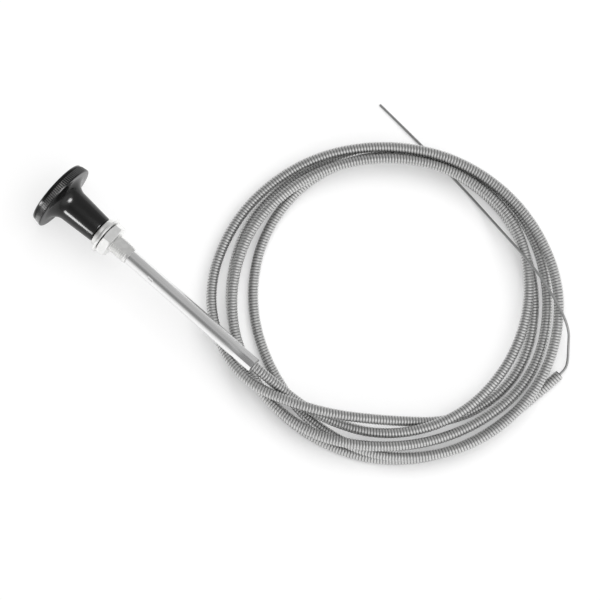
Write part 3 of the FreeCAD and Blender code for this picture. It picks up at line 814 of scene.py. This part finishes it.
def shared_solid(first_mesh, second_mesh):
    """What two closed solids share, as a new mesh."""
    pair = []
    for k, bm in enumerate((first_mesh, second_mesh)):
        mesh = bpy.data.meshes.new("shared_%d" % k)
        bm.to_mesh(mesh)
        bm.free()
        pair.append(bpy.data.objects.new("shared_%d" % k, mesh))
        bpy.context.scene.collection.objects.link(pair[-1])
    both = pair[0].modifiers.new("both", "BOOLEAN")
    both.operation = "INTERSECT"
    both.solver = "EXACT"
    both.object = pair[1]
    bpy.context.view_layer.update()
    result = bpy.data.meshes.new_from_object(pair[0].evaluated_get(bpy.context.evaluated_depsgraph_get()))
    bm = bmesh.new()
    bm.from_mesh(result)
    for thing in pair:
        bpy.data.objects.remove(thing)
    bpy.data.meshes.remove(result)
    return bm


nut_mesh = shared_solid(prism, lathe(cone_line, 96))
close_and_face_out(nut_mesh)
print("nut: open edges", sum(e.is_boundary for e in nut_mesh.edges))
nut = finish_piece(nut_mesh, "hex_nut", "nut", ["panel_nut"], math.radians(20))
nut.data.materials.append(plating_painted_lighter)

# %% [markdown]
# ## The barrel
#
# The barrel is plated tube, pressed on the bushing's spigot. Its far end is crimped on the
# conduit by eight flats: the places of a spun tube that stand further out than the press are
# brought in to it. A small staking mark, pressed into its side, holds the parts inside.

# %% The barrel's outline
BARREL_RADIUS = 3.97
BARREL_WALL = 1.2
BARREL_START = BUSHING_END + 0.05
CRIMP_START = BARREL_END - 10.4
CRIMP_HEIGHT = 3.6
CRIMP_TURN = math.radians(15)
CRIMP_STEP = math.radians(45)
MARK_PLACE = 32.2
MARK_TURN = math.radians(41)
MARK_LENGTH, MARK_WIDTH, MARK_DEPTH = 3.2, 1.1, 0.40


def barrel_outline():
    inner = BARREL_RADIUS - BARREL_WALL
    mark_start = MARK_PLACE - MARK_LENGTH / 2
    stops = [BARREL_START + 0.25, 22, 28] + [mark_start + k * MARK_LENGTH / 16 for k in range(-1, 18)]
    stops += [38, 50, 65, 80, CRIMP_START - 2.0, CRIMP_START + 0.6, CRIMP_START + 4, CRIMP_START + 8]
    outside = [(x, BARREL_RADIUS) for x in stops]
    end = arc((BARREL_END - 0.4, BARREL_RADIUS - 0.4), 0.4, 90, 0, 3)
    return [(BARREL_START, inner), (BARREL_START, BARREL_RADIUS - 0.15)] + outside + end + [
        (BARREL_END, inner), (BARREL_START, inner)]


# %% The barrel
barrel_mesh = lathe(barrel_outline(), 96)
for vert in barrel_mesh.verts:
    x, radius = vert.co.x / MM, math.hypot(vert.co.y, vert.co.z) / MM
    turn = math.atan2(-vert.co.y, vert.co.z)
    target = radius
    if radius > BARREL_RADIUS - 0.5 and x > CRIMP_START + 0.5:
        off_flat = (turn - CRIMP_TURN + CRIMP_STEP / 2) % CRIMP_STEP - CRIMP_STEP / 2
        target = min(radius, CRIMP_HEIGHT / math.cos(off_flat))
    elif radius > BARREL_RADIUS - 0.5:
        along = abs(x - MARK_PLACE) / (MARK_LENGTH / 2)
        across = abs(turn - MARK_TURN) * BARREL_RADIUS / (MARK_WIDTH / 2)
        target = radius - MARK_DEPTH * min(1, max(0, 1 - max(along, across)) * 3)
    vert.co.y *= target / radius
    vert.co.z *= target / radius
barrel = finish_piece(barrel_mesh, "plated_barrel", "cable", ["barrel_tube"], math.radians(25))
barrel.data.materials.append(drawn_plating)

# %% [markdown]
# ## The floor
#
# The object lies on a white floor, as in a catalogue picture. To the camera more than half
# of the floor's tone is plain white light, and the rest is real paper that keeps a soft
# shadow. In a ring under the coil the white share is small, because the photograph's floor
# is quite grey between the strands. Metal sees nearly all paper, so the shadow between the
# strands darkens their sides too.

# %% The floor
floor_mesh = bmesh.new()
bmesh.ops.create_grid(floor_mesh, x_segments=1, y_segments=1, size=10.0)
floor_data = bpy.data.meshes.new("studio_floor")
floor_mesh.to_mesh(floor_data)
floor_mesh.free()
floor = bpy.data.objects.new("studio_floor", floor_data)
floor.location = (COIL_MIDDLE.x, COIL_MIDDLE.y, FLOOR - 0.02 * MM)
bpy.context.scene.collection.objects.link(floor)
WHITE_SHARE, LESS_UNDER_COIL = 0.62, 0.38
WHITE_IN_METAL = 0.10
paper = Finish("studio_paper")
paper.shade(base_color=(0.95, 0.95, 0.95), roughness=0.9, specular_ior_level=0.0)
from_middle = paper.node("ShaderNodeVectorMath", {"operation": "LENGTH"},
                         {0: paper.node("ShaderNodeTexCoord", output="Object")}, output="Value")
under_coil = paper.ramp(from_middle * 10, (0.50, 0.0), (0.62, 1.0), (0.86, 1.0), (0.99, 0.0))
white_share = WHITE_SHARE - under_coil * LESS_UNDER_COIL
camera_ray = paper.node("ShaderNodeLightPath", output="Is Camera Ray")
glossy_ray = paper.node("ShaderNodeLightPath", output="Is Glossy Ray")
clear_ray = paper.node("ShaderNodeLightPath", output="Is Transmission Ray")
white = paper.node("ShaderNodeEmission", values={"Color": (1, 1, 1), "Strength": 1.0})
blend = paper.node("ShaderNodeMixShader", values={
    0: camera_ray * white_share + (glossy_ray + clear_ray) * WHITE_IN_METAL,
    1: Value(paper, paper.shader.outputs[0]),
    2: white,
})
paper.put(paper.tree.nodes["Material Output"].inputs["Surface"], blend)
floor_data.materials.append(paper.material)

# %% [markdown]
# ## The light
#
# Metal shows what stands round it, so the room matters as much as the lamps. The strands of
# the coil tell what stood round the real one: a dark place overhead at the left, and a soft
# glow at the right. The room is mid grey otherwise, and bright low down on the near side,
# where the barrel has its white streak.
#
# A wide lamp above and behind at the right gives the soft shadow that falls to the lower
# left, and metal doesn't see it. Three small lamps each light a few pieces alone: a low
# strip puts the streak on the black knob and a side lamp its small spot, and a lamp
# overhead lifts the nut, the washer and the bushing's shoulder.

# %% The lamps
def soft_lamp(name, place, facing, width, height, power):
    """An oblong lamp, its width level."""
    data = bpy.data.lights.new(name, "AREA")
    data.shape = "RECTANGLE"
    data.size, data.size_y = width, height
    data.energy = power
    lamp = bpy.data.objects.new(name, data)
    lamp.location = place
    lamp.rotation_euler = (facing - place).to_track_quat("-Z", "Y").to_euler()
    bpy.context.scene.collection.objects.link(lamp)
    return lamp


middle = on_floor(-40, 0, 0)
overhead = soft_lamp("overhead", on_floor(300, 360, 1350), middle, 1.7, 1.7, 16.5)
overhead.visible_glossy = False
strip = soft_lamp("low_strip", Vector((-0.5, -2.2, 0.42)), Vector((0, 0, 0)), 1.2, 0.6, 64.0)
strip.visible_diffuse = False
side = soft_lamp("side_lamp", Vector((0.48, 0.09, 0.99)), Vector((-0.02, 0, 0)), 0.45, 0.45, 16.0)
side.visible_diffuse = False
over_nut = soft_lamp("over_nut", Vector((-0.21, -0.09, 1.18)), Vector((0, 0, 0)), 0.9, 0.9, 0.9)


def light_alone(lamp, pieces):
    """Lets a lamp light these pieces and nothing else."""
    chosen = bpy.data.collections.new(lamp.name + "_pieces")
    for piece in pieces:
        chosen.objects.link(piece)
    lamp.light_linking.receiver_collection = chosen


light_alone(strip, [knob])
light_alone(side, [knob])
light_alone(over_nut, [nut, washer, shoulder])

# %% The room
NEAR_SIDE = (0, -1, 0)
DARK_PLACE = (-0.494, -0.451, 0.743)
GLOW_PLACE = (0.766, -0.035, 0.643)
GLOW_STRENGTH = 0.8
world = bpy.data.worlds.new("grey_room")
bpy.context.scene.world = world
world.use_nodes = True
room = NodeKit(world.node_tree)
direction = room.node("ShaderNodeTexCoord", output="Generated")


def towards(place):
    """1 where a ray goes straight to this place in the room, -1 where it goes away from it."""
    return room.node("ShaderNodeVectorMath", {"operation": "DOT_PRODUCT"}, {0: direction, 1: place},
                     output="Value")


shade = room.ramp(towards(DARK_PLACE), (0.81, 1.0), (0.95, 0.36))
glow = room.ramp(towards(GLOW_PLACE), (0.74, 0.0), (0.92, 1.0))
sides = room.ramp(towards(NEAR_SIDE) * 0.5 + 0.5, (0.0, 0.62), (0.14, 0.54), (0.35, 0.50), (0.6, 0.58), (0.85, 0.60),
                  (0.96, 0.74), (0.99, 1.0))
walls = glow * GLOW_STRENGTH + shade * sides
to_camera = room.node("ShaderNodeLightPath", output="Is Camera Ray")
tone = room.node("ShaderNodeMix", {"data_type": "RGBA"}, {0: to_camera, 6: walls, 7: (1, 1, 1)}, output=2)
background = world.node_tree.nodes["Background"]
room.put(background.inputs["Color"], tone)
background.inputs["Strength"].default_value = 1.0
bpy.context.scene.view_settings.view_transform = "Standard"
